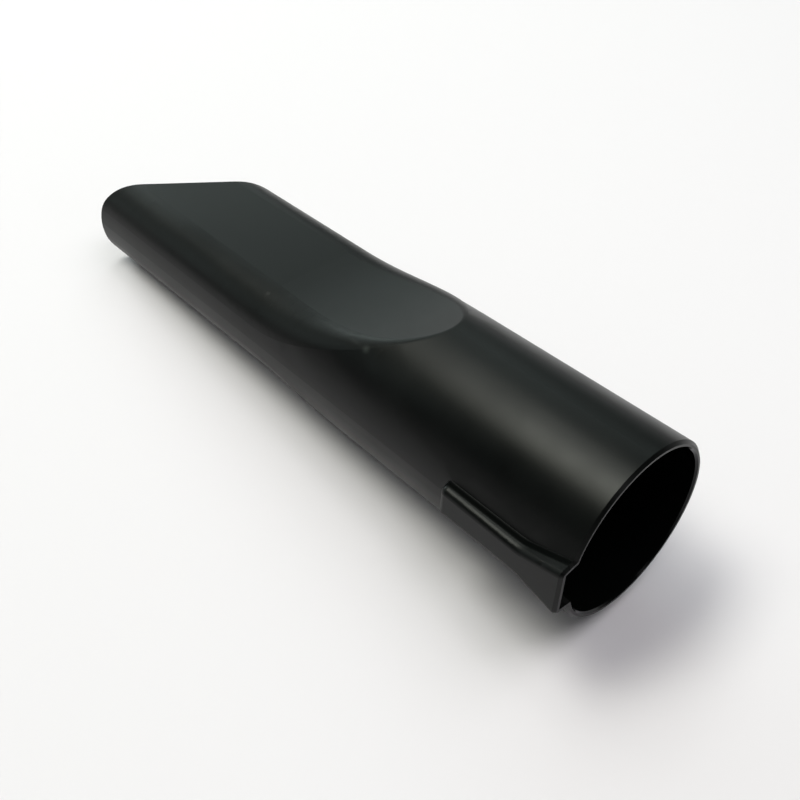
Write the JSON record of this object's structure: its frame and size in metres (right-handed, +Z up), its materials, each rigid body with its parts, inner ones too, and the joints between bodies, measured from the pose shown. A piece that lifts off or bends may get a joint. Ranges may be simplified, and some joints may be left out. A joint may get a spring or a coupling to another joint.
{
  "type": "vacuum crevice tool",
  "caption": "Hollow moulded vacuum crevice tool: round push-fit socket with a latch housing, scooped down to a flat blade with a slanted open tip.",
  "frame": {"origin": "bottom centre of the tool's box, on the surface that it lies on", "axes": "+X along the tool from the round mouth to the slanted tip, as it lies at rest; +Z up; +Y towards the side with the latch housing"},
  "size_m": [0.149, 0.0408, 0.0416],
  "materials": {
    "plastic": "black moulded plastic with a fine satin grain"
  },
  "bodies": {
    "root": {"crevice_tool": "plastic"}
  },
  "joints": []
}
